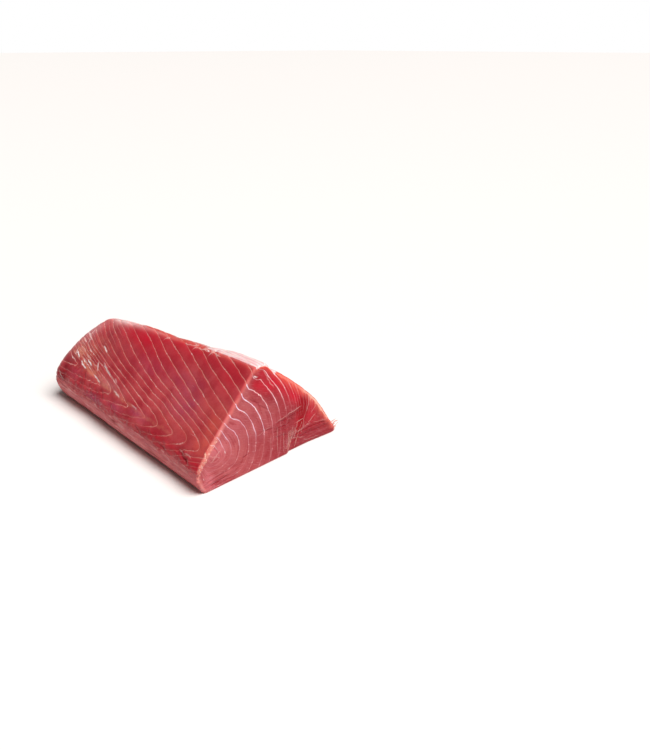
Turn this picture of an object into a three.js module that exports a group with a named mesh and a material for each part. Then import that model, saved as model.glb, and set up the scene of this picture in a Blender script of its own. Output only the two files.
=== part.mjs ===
// A loin block of sashimi-grade tuna: one long bar of raw flesh that lies on its cut base.
// Seen end on, a tall flat cut side leans in on the left, above a low band where the skin
// was pared off, and the rounded side that faced the skin falls away on the right.
// Sizes are in millimetres. +X runs along the block to its clean cut end and +Z is up.
// The origin is the middle of the base of the block's box.
import * as THREE from "three";
import { mergeVertices } from "three/addons/utils/BufferGeometryUtils.js";

// Driving dimensions
const LENGTH = 243;
const CUT_END = { foot: [-70, 0], toe: [73, 0], ridge: [-15, 90.7], shoulder: [-77, 20] };
const FAR_END = { foot: [-67, 0], toe: [62, 0], ridge: [-15, 70.5], shoulder: [-76, 24] };
const RIDGE_DROP_POWER = 1.5; // above 1, the ridge stays level near the cut end
const CORNER_ROUNDING = { foot: 2.5, toe: 2.5, ridge: 5, shoulder: 8 };
const SKIN_SIDE = { cutEnd: 11.4, farEnd: 2.5, fullness: 0.7 }; // a full curve falls off late
const TALL_SIDE = { cutEnd: 1, farEnd: 7 };
const BAND_BULGE = 1.5;

// Ends: the cut edge is hardly rounded, and the far end is a blunt crown that leans inwards.
const CUT_EDGE_ROUNDING = 1.2;
const FAR_ROUNDING = { length: 8, inset: 6, crown: 5 };
const FAR_LEAN = { top: 14, reach: 70 };

// The lower right part of the cut end stands a little further back, behind a torn edge, and comes
// forward again towards the toe.
const STEP = { y: 14, depth: 2.2, top: 42, blend: 5, reach: 45, fade: [36, 70] };

// Sheets of white tissue divide the muscle into nested cones, which point to the cut end.
// A sheet lies wherever the phase below is a whole number.
const PHASE_AT_CUT_END = -8.9;
const SHEETS_ALONG = { even: 11.7, thinning: 3.1 }; // sheets passed from one end to the other
const SHEETS_OUTWARDS = { spacing: 9.3, extra: 1.84, reach: 36 }; // from the cones' axis
const CONE_AXIS_RISE = { farEnd: 0.3, cutEnd: 0.2, sag: 0.3 }; // as a fraction of the tall side

// Where a sheet reaches the ridge, the flesh parts in a small notch.
const NOTCH = { depth: 2, halfWidth: 0.16, reach: 6 };

// A strip of pale tissue was left on the skin side, next to the ridge at the cut end.
const STRIP = { height: 2.5, offRidge: 11, halfWidth: 6, start: 160, full: 190 };

// Unevenness of a hand cut: its height, the lengths of its two waves and their slants.
const WAVE = { height: 0.3, long: 23, short: 11, slantAcross: 17, slantUp: 13, baseBlend: 12 };

const GRID = { length: 72, across: 14, up: 10 };
const GRID_CROWDING = 0.45; // 0 spaces the grid evenly, and more brings it closer to the edges
const FLESH_COLOUR = "#b5323a";

const CORNERS = ["foot", "toe", "ridge", "shoulder"];
const { clamp, lerp, smoothstep } = THREE.MathUtils;

// Fractions from 0 to 1, brought closer together towards both ends.
function crowded(k) {
  return k - (GRID_CROWDING * Math.sin(2 * Math.PI * k)) / (2 * Math.PI);
}

// The four corners of the section at a fraction of the length, 0 being the far end.
function cornersAt(along) {
  return CORNERS.map((name) => {
    const far = FAR_END[name];
    const cut = CUT_END[name];
    const drop = name === "ridge" ? 1 - (1 - along) ** RIDGE_DROP_POWER : along;
    return new THREE.Vector2(lerp(far[0], cut[0], along), lerp(far[1], cut[1], drop));
  });
}

// How far each side of the section stands out from a straight line, in the order of CORNERS.
function bulgesAt(along) {
  const skinSide = lerp(SKIN_SIDE.farEnd, SKIN_SIDE.cutEnd, along);
  const tallSide = lerp(TALL_SIDE.cutEnd, TALL_SIDE.farEnd, (1 - along) ** 2);
  return [0, skinSide, tallSide, BAND_BULGE];
}

function quarterTurn(direction) {
  return new THREE.Vector2(direction.y, -direction.x);
}

// The point at fraction k of one side of the section, with its two corners rounded.
function sidePoint(corners, bulges, side, k) {
  const start = corners[side];
  const end = corners[(side + 1) % 4];
  const nearStart = k < 0.5;
  const corner = nearStart ? start : end;
  const neighbour = nearStart ? corners[(side + 3) % 4] : corners[(side + 2) % 4];
  const rounding = CORNER_ROUNDING[CORNERS[nearStart ? side : (side + 1) % 4]];
  const distance = (nearStart ? k : 1 - k) * start.distanceTo(end);
  const point = start.clone().lerp(end, k);
  if (distance < rounding) {
    const towards = (other) => other.clone().sub(corner).setLength(rounding).add(corner);
    const arc = new THREE.QuadraticBezierCurve(
      towards(neighbour),
      corner,
      towards(nearStart ? end : start),
    );
    point.copy(arc.getPoint(0.5 + (0.5 * distance) / rounding));
  }
  const outwards = quarterTurn(end.clone().sub(start).normalize());
  const fullness = side === 1 ? SKIN_SIDE.fullness : 1;
  return point.addScaledVector(outwards, bulges[side] * (4 * k * (1 - k)) ** fullness);
}

// The point of the section at (across, up), both 0 to 1, blended from its four sides.
function sectionPoint(along, across, up) {
  const corners = cornersAt(along);
  const bulges = bulgesAt(along);
  const side = (i, k) => sidePoint(corners, bulges, i, k);
  const mix = new THREE.Vector2();
  mix.addScaledVector(side(0, across), 1 - up);
  mix.addScaledVector(side(2, 1 - across), up);
  mix.addScaledVector(side(3, 1 - up), 1 - across);
  mix.addScaledVector(side(1, up), across);
  mix.addScaledVector(side(0, 0), -(1 - across) * (1 - up));
  mix.addScaledVector(side(0, 1), -across * (1 - up));
  mix.addScaledVector(side(2, 0), -across * up);
  mix.addScaledVector(side(2, 1), -(1 - across) * up);
  return mix;
}

// The fraction by which the section shrinks where an end rounds over.
function endShrink(along) {
  const arc = (distance, length) => 1 - Math.sqrt(1 - clamp(1 - distance / length, 0, 1) ** 2);
  const far = FAR_ROUNDING.inset * arc(along * LENGTH, FAR_ROUNDING.length);
  const cut = CUT_EDGE_ROUNDING * arc((1 - along) * LENGTH, CUT_EDGE_ROUNDING);
  return (far + cut) / (CUT_END.ridge[1] / 2);
}

// Whole numbers of this phase are the sheets of tissue.
function sheetPhase(along, yz) {
  const corners = cornersAt(along);
  const { farEnd, cutEnd, sag } = CONE_AXIS_RISE;
  const rise = lerp(farEnd, cutEnd, along) - sag * along * (1 - along);
  const axis = corners[3].clone().lerp(corners[2], rise);
  const radius = axis.distanceTo(yz);
  const back = 1 - along;
  const passed = SHEETS_ALONG.even * back - SHEETS_ALONG.thinning * back ** 2;
  const extra = SHEETS_OUTWARDS.extra * smoothstep(radius, 0, SHEETS_OUTWARDS.reach);
  return PHASE_AT_CUT_END - passed + radius / SHEETS_OUTWARDS.spacing + extra;
}

// How deep the notches are at a point of the section.
function notchDepth(along, yz) {
  const phase = sheetPhase(along, yz);
  const offSheet = (phase - Math.round(phase)) / NOTCH.halfWidth;
  const offRidge = cornersAt(along)[2].distanceTo(yz) / NOTCH.reach;
  return NOTCH.depth * Math.exp(-(offSheet ** 2)) * Math.exp(-(offRidge ** 2));
}

// How far the lower right part of the cut end is set back.
function stepBack(along, yz) {
  const right = smoothstep(yz.x, STEP.y, STEP.y + STEP.blend) * (1 - smoothstep(yz.x, ...STEP.fade));
  const low = 1 - smoothstep(yz.y, STEP.top - 3 * STEP.blend, STEP.top);
  return STEP.depth * right * low * smoothstep(along * LENGTH, LENGTH - STEP.reach, LENGTH);
}

// How far the strip of tissue stands out.
function stripHeight(along, yz) {
  const offRidge = cornersAt(along)[2].distanceTo(yz) - STRIP.offRidge;
  const onSkinSide = smoothstep(yz.x, CUT_END.ridge[0], CUT_END.ridge[0] + STRIP.halfWidth);
  const bell = Math.exp(-((offRidge / STRIP.halfWidth) ** 2));
  return STRIP.height * bell * onSkinSide * smoothstep(along * LENGTH, STRIP.start, STRIP.full);
}

// Long low waves, which leave the base flat.
function wave(x, yz) {
  const long = Math.sin(x / WAVE.long + yz.x / WAVE.slantAcross);
  const short = Math.sin(x / WAVE.short - yz.y / WAVE.slantUp);
  return WAVE.height * (long + short) * smoothstep(yz.y, 0, WAVE.baseBlend);
}

// Moves a corner of the unit box's grid to its place on the block.
function loinPoint(point) {
  const [along, across, up] = point.toArray().map((value) => crowded(value + 0.5));
  const yz = sectionPoint(along, across, up);
  const middle = sectionPoint(along, 0.5, 0.5);
  const relief = wave(along * LENGTH, yz) + stripHeight(along, yz) - notchDepth(along, yz);
  yz.addScaledVector(yz.clone().sub(middle).normalize(), relief);
  yz.lerp(middle, endShrink(along));
  const crown = FAR_ROUNDING.crown * 16 * across * (1 - across) * up * (1 - up);
  const lean = FAR_LEAN.top * (yz.y / FAR_END.ridge[1]) ** 2;
  const nearFarEnd = (1 - smoothstep(along * LENGTH, 0, FAR_LEAN.reach)) ** 2;
  const x = along * LENGTH + (lean - crown) * nearFarEnd - stepBack(along, yz);
  return point.set(x, yz.x, yz.y);
}

function loinGeometry() {
  const box = new THREE.BoxGeometry(1, 1, 1, GRID.length, GRID.across, GRID.up);
  box.deleteAttribute("normal");
  box.deleteAttribute("uv");
  const geometry = mergeVertices(box);
  const positions = geometry.getAttribute("position");
  const point = new THREE.Vector3();
  for (let i = 0; i < positions.count; i += 1) {
    loinPoint(point.fromBufferAttribute(positions, i));
    positions.setXYZ(i, point.x, point.y, point.z);
  }
  geometry.computeBoundingBox();
  const { min, max } = geometry.boundingBox;
  geometry.translate(-(min.x + max.x) / 2, -(min.y + max.y) / 2, -min.z);
  geometry.computeVertexNormals();
  return geometry;
}

const flesh = new THREE.MeshStandardMaterial({ color: FLESH_COLOUR, roughness: 0.35, metalness: 0 });
const loin = new THREE.Mesh(loinGeometry(), flesh);
loin.name = "tuna_loin";

const group = new THREE.Group();
group.add(loin);

export default group;
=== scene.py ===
import math
import random
from functools import lru_cache

import bmesh
import bpy
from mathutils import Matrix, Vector, noise


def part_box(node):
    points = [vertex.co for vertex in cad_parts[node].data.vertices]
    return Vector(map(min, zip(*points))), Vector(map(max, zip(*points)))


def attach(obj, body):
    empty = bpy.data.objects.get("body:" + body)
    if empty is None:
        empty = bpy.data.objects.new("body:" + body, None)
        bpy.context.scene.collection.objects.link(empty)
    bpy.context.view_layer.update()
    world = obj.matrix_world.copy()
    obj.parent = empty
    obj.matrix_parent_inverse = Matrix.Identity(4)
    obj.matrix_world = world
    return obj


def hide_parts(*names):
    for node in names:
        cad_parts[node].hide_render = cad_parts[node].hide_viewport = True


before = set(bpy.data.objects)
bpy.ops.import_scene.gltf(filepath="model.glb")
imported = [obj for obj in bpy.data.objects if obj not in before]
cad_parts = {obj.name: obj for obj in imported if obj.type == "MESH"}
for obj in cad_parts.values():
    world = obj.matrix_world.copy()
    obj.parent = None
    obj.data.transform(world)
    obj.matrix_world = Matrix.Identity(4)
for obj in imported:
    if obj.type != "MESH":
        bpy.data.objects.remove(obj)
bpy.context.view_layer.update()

noise.seed_set(4)  # unless it is set, noise_vector changes from run to run
print("frame loaded")

# The block is shaped in millimetres, from its far end at x = 0 to its clean cut end, and then put
# on the CAD solid in metres. Its section has four corners, seen from the cut end as (across, up).
loin = {
    "length": 243,
    "cutEnd": {"foot": (-70, 0), "toe": (73, 0), "ridge": (-15, 90.7), "shoulder": (-77, 20)},
    "farEnd": {"foot": (-67, 0), "toe": (62, 0), "ridge": (-15, 70.5), "shoulder": (-76, 24)},
    "ridgeDropPower": 1.5,
    "cornerRounding": {"foot": 2.5, "toe": 2.5, "ridge": 5, "shoulder": 8},
    "skinSide": {"cutEnd": 11.4, "farEnd": 2.5, "fullness": 0.7},
    "tallSide": {"cutEnd": 1, "farEnd": 7},
    "bandBulge": 1.5,
    "cutEdgeRounding": 1.2,
    "farRounding": {"length": 8, "inset": 6, "crown": 5},
    "farLean": {"top": 14, "reach": 70},
    "step": {"y": 14, "depth": 2.2, "top": 42, "blend": 5, "reach": 45, "fade": (36, 70)},
    "strip": {"height": 2.5, "offRidge": 11, "halfWidth": 6, "start": 164, "full": 215},
    "toeHollow": {"depth": 2.6, "z": 18, "reach": 14, "fromCut": 45, "power": 4},
    "wave": {"height": 0.3, "long": 23, "short": 11, "slantAcross": 17, "slantUp": 13, "baseBlend": 12},
    "grid": (214, 108, 76),  # cells along, across and up
    "gridCrowding": 0.25,  # 0 spaces the grid evenly, and more brings it closer to the edges
}
cornerNames = ("foot", "toe", "ridge", "shoulder")
millimetre = 0.001
tiny = 0.0001  # fractions nearer to each other than this are the same
digits = {"grid": 5, "sheets": 4}  # kept of a fraction, so that what is cached is found again


def lerp(start, end, k):
    return start + (end - start) * k


def smoothStep(value, low, high):
    k = min(max((value - low) / (high - low), 0), 1)
    return k * k * (3 - 2 * k)


def bell(value, width):
    return math.exp(-((value / width) ** 2))


# The section: four sides between rounded corners, blended over its inside

@lru_cache(maxsize=None)
def cornersAt(along):
    corners = []
    for name in cornerNames:
        far, cut = loin["farEnd"][name], loin["cutEnd"][name]
        drop = 1 - (1 - along) ** loin["ridgeDropPower"] if name == "ridge" else along
        corners.append(Vector((lerp(far[0], cut[0], along), lerp(far[1], cut[1], drop))))
    return corners


@lru_cache(maxsize=None)
def sidePoint(along, side, k):
    corners = cornersAt(along)
    start, end = corners[side], corners[(side + 1) % 4]
    nearStart = k < 0.5
    corner = start if nearStart else end
    neighbour = corners[(side + 3) % 4] if nearStart else corners[(side + 2) % 4]
    rounding = loin["cornerRounding"][cornerNames[side if nearStart else (side + 1) % 4]]
    distance = (k if nearStart else 1 - k) * (end - start).length
    point = start.lerp(end, k)
    if distance < rounding:
        first = corner + (neighbour - corner).normalized() * rounding
        last = corner + ((end if nearStart else start) - corner).normalized() * rounding
        t = 0.5 + 0.5 * distance / rounding
        point = first * (1 - t) ** 2 + corner * (2 * t * (1 - t)) + last * t * t
    skin, tall = loin["skinSide"], loin["tallSide"]
    bulge = (
        0,
        lerp(skin["farEnd"], skin["cutEnd"], along),
        lerp(tall["cutEnd"], tall["farEnd"], (1 - along) ** 2),
        loin["bandBulge"],
    )[side]
    direction = (end - start).normalized()
    fullness = skin["fullness"] if side == 1 else 1
    return point + Vector((direction.y, -direction.x)) * bulge * (4 * k * (1 - k)) ** fullness


def sectionPoint(along, across, up):
    point = sidePoint(along, 0, across) * (1 - up) + sidePoint(along, 2, 1 - across) * up
    point += sidePoint(along, 3, 1 - up) * (1 - across) + sidePoint(along, 1, up) * across
    point -= sidePoint(along, 0, 0) * (1 - across) * (1 - up) + sidePoint(along, 0, 1) * across * (1 - up)
    point -= sidePoint(along, 2, 0) * across * up + sidePoint(along, 2, 1) * (1 - across) * up
    return point


# How far a section shrinks towards its middle at the rounded ends, as a fraction
def endShrink(along):
    def arc(distance, length):
        return 1 - math.sqrt(1 - min(max(1 - distance / length, 0), 1) ** 2)

    far = loin["farRounding"]
    edge = loin["cutEdgeRounding"]
    inset = far["inset"] * arc(along * loin["length"], far["length"])
    inset += edge * arc((1 - along) * loin["length"], edge)
    return inset / (loin["cutEnd"]["ridge"][1] / 2)


def stepBack(along, yz):
    step = loin["step"]
    right = smoothStep(yz.x, step["y"], step["y"] + step["blend"]) * (1 - smoothStep(yz.x, *step["fade"]))
    low = 1 - smoothStep(yz.y, step["top"] - 3 * step["blend"], step["top"])
    reach = smoothStep(along * loin["length"], loin["length"] - step["reach"], loin["length"])
    return step["depth"] * right * low * reach


def stripHeight(along, yz):
    strip = loin["strip"]
    offRidge = (cornersAt(along)[2] - yz).length - strip["offRidge"]
    ridgeY = loin["cutEnd"]["ridge"][0]
    onSkinSide = smoothStep(yz.x, ridgeY, ridgeY + strip["halfWidth"])
    kept = smoothStep(along * loin["length"], strip["start"], strip["full"])
    return strip["height"] * bell(offRidge, strip["halfWidth"]) * onSkinSide * kept


def toeHollow(along, across, yz):
    toe = loin["toeHollow"]
    depth = toe["depth"] * bell(yz.y - toe["z"], toe["reach"]) * across ** toe["power"]
    return depth * bell((1 - along) * loin["length"], toe["fromCut"])


def wave(x, yz):
    shape = loin["wave"]
    long = math.sin(x / shape["long"] + yz.x / shape["slantAcross"])
    short = math.sin(x / shape["short"] - yz.y / shape["slantUp"])
    return shape["height"] * (long + short) * smoothStep(yz.y, 0, shape["baseBlend"])


# The place of a point of the block, all three fractions running from 0 to 1
def loinPoint(along, across, up):
    yz = sectionPoint(along, across, up)
    middle = sectionPoint(along, 0.5, 0.5)
    x = along * loin["length"]
    outwards = (yz - middle).normalized()
    yz = yz + outwards * (wave(x, yz) + stripHeight(along, yz) - toeHollow(along, across, yz))
    yz = yz.lerp(middle, endShrink(along))
    # 16 makes the crown full in the middle of the far end
    crown = loin["farRounding"]["crown"] * 16 * across * (1 - across) * up * (1 - up)
    lean = loin["farLean"]["top"] * (yz.y / loin["farEnd"]["ridge"][1]) ** 2
    nearFarEnd = (1 - smoothStep(x, 0, loin["farLean"]["reach"])) ** 2
    x += (lean - crown) * nearFarEnd - stepBack(along, yz)
    return Vector((x, yz.x, yz.y))


# Sheets of tissue divide the muscle into nested cones: one lies at each whole number of a phase
sheets = {
    "atCutEnd": -8.9,
    "along": {"even": 11.7, "thinning": 3.1},
    "axisRise": {"farEnd": 0.303, "cutEnd": 0.204, "sag": 0.3},
    "axisDepth": {"start": 0.62, "cutEnd": 7},
    "belowAxis": {"usual": 1.1, "cutEnd": 1.7, "from": 0.82},
    "outwards": {"perMillimetre": 0.107, "extra": 1.84, "reach": 36},
    "hook": {"size": 0.5, "depth": 5},
    "tips": {"size": 0.3, "from": 0.55, "to": 0.7, "reach": 16},
    "warp": ((30, 1.3), (8, 0.45)),  # size and strength of two waves of noise
    "lowerWarp": {"size": 9, "strength": 1.4, "rise": 18, "blend": 22, "from": 0.7, "to": 0.4},
    "rings": {  # the sheets on the cut end, by their distance from the cones' axis there
        "axis": (-60, 28),
        "first": -9,  # the sheet at the axis itself
        "radii": (6.5, 11.5, 18, 26, 35, 42, 51, 61, 70.5, 77.5, 83, 88.5, 93.5, 100, 107),
        "flattened": {"below": 0.6, "reach": 20},
        "inside": 12,
        "from": 0.8,
    },
    "pitch": (2, 25),  # the least and the most millimetres from one sheet to the next
}


def warped(x, yz):
    place = Vector((x, yz.x, yz.y))
    moved = place.copy()
    for size, strength in sheets["warp"]:
        moved += noise.noise_vector(place / size) * strength
    lower = sheets["lowerWarp"]
    low = 1 - smoothStep(yz.y, lower["rise"], lower["rise"] + lower["blend"])
    low *= 1 - smoothStep(x / loin["length"], lower["to"], lower["from"])
    return moved + noise.noise_vector(place / lower["size"]) * lower["strength"] * low


def ringPhase(yz):
    rings = sheets["rings"]
    across, above = yz.x - rings["axis"][0], yz.y - rings["axis"][1]
    if above < 0:
        above *= 1 + rings["flattened"]["below"] * bell(across, rings["flattened"]["reach"])
    radius = math.hypot(across, above)
    inner = 0
    for i, outer in enumerate(rings["radii"]):
        if radius < outer or i == len(rings["radii"]) - 1:
            return rings["first"] + i + (radius - inner) / (outer - inner)
        inner = outer


def sheetPhase(along, yz):
    place = warped(along * loin["length"], yz)
    along, yz = place.x / loin["length"], Vector((place.y, place.z))
    corners = cornersAt(min(max(round(along, digits["sheets"]), 0), 1))
    ridge, shoulder = corners[2], corners[3]
    upwards = (ridge - shoulder).normalized()
    inwards = Vector((upwards.y, -upwards.x))
    rise, depth = sheets["axisRise"], sheets["axisDepth"]
    axisRise = lerp(rise["farEnd"], rise["cutEnd"], along) - rise["sag"] * along * (1 - along)
    axisDepth = depth["cutEnd"] * max((along - depth["start"]) / (1 - depth["start"]), 0)
    offAxis = yz - (shoulder + (ridge - shoulder) * axisRise + inwards * axisDepth)
    above, inside = offAxis.dot(upwards), offAxis.dot(inwards)
    if above < 0:
        below = sheets["belowAxis"]
        above *= lerp(below["usual"], below["cutEnd"], smoothStep(along, below["from"], 1))
    radius = math.hypot(above, inside)
    out = sheets["outwards"]
    fromRadius = out["perMillimetre"] * radius + out["extra"] * smoothStep(radius, 0, out["reach"])
    back = 1 - along
    passed = sheets["along"]["even"] * back - sheets["along"]["thinning"] * back**2
    underFace = max((yz - shoulder).dot(inwards), 0)
    hook = sheets["hook"]["size"] * math.exp(-underFace / sheets["hook"]["depth"])
    tips = sheets["tips"]
    hook += tips["size"] * smoothStep(back, tips["from"], tips["to"]) * bell(radius, tips["reach"])
    phase = sheets["atCutEnd"] - passed + fromRadius - hook
    rings = sheets["rings"]
    nearCut = smoothStep(underFace, 0, rings["inside"]) * smoothStep(along, rings["from"], 1)
    return lerp(phase, ringPhase(yz), nearCut)


# Where the colours lie. A place is (back from the cut end, up the slope from the shoulder) on the
# tall side, (back, up) on the band, and (across, up) on the cut end. A patch is a place, its two
# reaches and its strength.
patches = {
    "tall": {
        # lilac sheen: painted sheen where the wet tall side reflects the soft light
        "lilac": (
            (50, 33, 20, 9, 0.35), (42, 45, 13, 7, 0.35), (60, 56, 22, 10, 0.3),
            (115, 54, 24, 10, 0.25), (94, 14, 12, 4, 0.5), (162, 3, 15, 4, 0.5), (206, 12, 9, 5, 0.2),
            (128, 8, 12, 4, 0.4),
        ),
        "dark": (
            (14, 84, 12, 10, 0.5), (140, 42, 30, 10, 0.25), (119, 64, 16, 8, 0.3), (20, 6, 5, 4, 0.6),
            (37, 7, 9, 5, 0.5), (28, 11, 7, 4, 0.4), (59, 9, 9, 5, 0.5), (76, 4, 14, 4, 0.5),
            (110, 5, 12, 4, 0.3), (177, 10, 34, 6, 0.4), (226, 16, 7, 12, 0.9), (224, 4, 10, 6, 0.8),
            (192, 38, 7, 4, 0.3), (222, 40, 6, 5, 0.4),
        ),
        "shade": (
            (178, 48, 38, 22, 0.5), (150, 62, 20, 12, 0.3), (196, 66, 14, 10, 0.3),
            (226, 24, 14, 22, 0.6), (140, 78, 20, 8, 0.3),
        ),
        "glow": (
            (27, 50, 11, 9, 0.3), (8, 50, 7, 10, 0.3), (7, 42, 9, 10, 0.4), (6, 30, 9, 12, 0.6),
            (9, 20, 10, 7, 0.6), (36, 26, 16, 8, 0.4), (62, 24, 14, 6, 0.4),
        ),
        "scarlet": (
            (153, 74, 30, 9, 0.7), (185, 74, 18, 8, 0.4), (90, 84, 60, 8, 0.7), (18, 78, 14, 14, 0.6),
            (110, 68, 40, 12, 0.3), (7, 6, 9, 6, 0.9), (37, 7, 9, 5, 0.5), (62, 8, 8, 5, 0.4),
            (145, 56, 40, 22, 0.16),
        ),
        # pale sheen: painted highlight where the far ridge and the rounded far end catch the light
        "veil": (
            (215, 79, 25, 4.3, 1.0), (176, 82, 22, 3.6, 0.5), (140, 86, 24, 3, 0.25),
            (242, 40, 4, 50, 0.6), (234, 60, 9, 10, 0.28), (230, 44, 12, 20, 0.12),
            (200, 73, 18, 6, 0.1), (190, 80, 10, 3.6, 0.3), (150, 22, 20, 4, 0.12),
        ),
        "fat": (
            (224, 34, 9, 8, 0.5), (207, 32, 11, 8, 0.45), (192, 27, 11, 6, 0.4), (176, 24, 12, 5, 0.5),
            (205, 46, 14, 9, 0.3), (149, 20, 12, 3, 0.35), (124, 18, 10, 2.5, 0.25),
            (185, 44, 12, 8, 0.2),
        ),
        "fleck": (
            (200, 28, 10, 5, 0.9), (180, 31, 9, 3, 0.7), (196, 22, 8, 4, 0.8), (168, 19, 8, 4, 0.5),
            (223, 29, 6, 7, 1.0), (232, 55, 6, 6, 0.8), (226, 45, 7, 5, 0.9), (210, 38, 12, 7, 0.6),
            (148, 27, 10, 4, 0.3), (130, 18, 5, 3, 0.5),
        ),
        "torn": ((175, 6, 60, 12, 1.0), (200, 30, 26, 14, 0.4), (22, 6, 9, 6, 1.0), (60, 5, 40, 7, 0.7)),
        "gouge": ((18.7, 5.5, 2.6, 1.4, 1.0), (25, 7, 2, 1.2, 0.6), (49, 3, 4, 1.5, 0.6)),
    },
    "band": {
        # lighter patches: painted reflection of the bright floor in the wet band
        "pale": (
            (75, 17, 10, 3, 0.8), (97, 18, 12, 3, 0.9), (108, 20, 6, 2, 0.8), (154, 14, 16, 3, 0.7),
            (190, 12, 14, 4, 0.6), (40, 14, 16, 3, 0.4), (3, 10, 5, 9, 0.8), (202, 9, 26, 6, 0.45),
        ),
        # dark nicks of the band, and painted shade along its bottom towards the floor
        "dark": (
            (125, 17, 6, 1.6, 0.9), (66, 10, 8, 5, 0.55), (60, 2, 80, 2, 0.4), (180, 3, 60, 3, 0.5),
            (230, 4, 10, 6, 0.3),
        ),
    },
    "cut": {
        # lighter pink patches: painted sheen of the wet cut end, most of all on its left and at the foot
        "pale": (
            (-56, 32, 12, 9, 0.5), (-38, 52, 10, 10, 0.4), (-68, 48, 10, 12, 0.4), (-66, 8, 5, 7, 0.4),
            (-48, 24, 16, 8, 0.2), (2, 36, 8, 5, 0.3), (-15, 60, 9, 7, 0.3),
        ),
        # dark patches; the thin one at 33 up is painted shadow under the ledge
        "dark": (
            (-16, 79, 4, 5, 0.3), (-4, 64, 6, 4, 0.5), (1, 58, 5, 4, 0.5), (5, 53, 4, 4, 0.4),
            (14, 33, 14, 1.6, 0.6), (-57, 5, 9, 1.6, 0.6), (66, 5, 6, 5, 0.4),
        ),
        "brown": (
            (12, 15, 20, 14, 0.5), (40, 12, 28, 17, 0.7), (60, 8, 16, 12, 0.7), (-16, 6, 16, 5, 0.6),
            (26, 30, 12, 9, 0.5), (-10, 20, 14, 9, 0.4),
        ),
        "scarlet": (
            (-6, 83, 6, 4, 0.8), (5, 76, 9, 6, 1.0), (14, 68, 9, 8, 1.0), (24, 58, 9, 9, 1.0),
            (32, 50, 8, 7, 0.9), (39, 41, 6, 7, 0.8), (34, 30, 6, 8, 0.7), (46, 40, 5, 7, 0.8),
            (54, 20, 10, 7, 0.25), (-15, 78, 4, 4, 0.6), (-11, 74, 6, 5, 0.6), (-2, 69, 7, 5, 0.6),
            (50, 34, 6, 7, 0.5), (44, 26, 8, 8, 0.5), (30, 12, 9, 7, 0.15),
        ),
        "crimson": (
            (34.5, 43, 5, 7, 1.3), (35.5, 36, 5, 6, 1.5), (36, 29, 5, 5, 1.4), (35.5, 22, 4, 4, 1.2),
            (31, 17, 3, 4, 0.9), (-13.5, 79, 2, 3, 0.5),
        ),
        "fat": ((56, 22, 8, 8, 0.15), (64, 12, 6, 8, 0.1)),
        # pink sheen: painted sheen on the left of the cut end and at its foot
        "blush": ((-57, 34, 9, 6, 0.5), (-68, 50, 10, 10, 0.4), (-67, 9, 5, 9, 0.7), (-40, 44, 10, 8, 0.2)),
        "shade": ((30, 10, 18, 12, 0.4), (52, 5, 14, 6, 0.3)),
        "torn": ((5, 28, 22, 6, 0.7), (26, 36, 12, 12, 0.8), (-12, 68, 10, 9, 0.5)),
        "fan": ((-56, 8, 12, 8, 1.0), (-40, 10, 16, 7, 0.6), (48, 10, 22, 9, 0.6)),
    },
}

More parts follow.
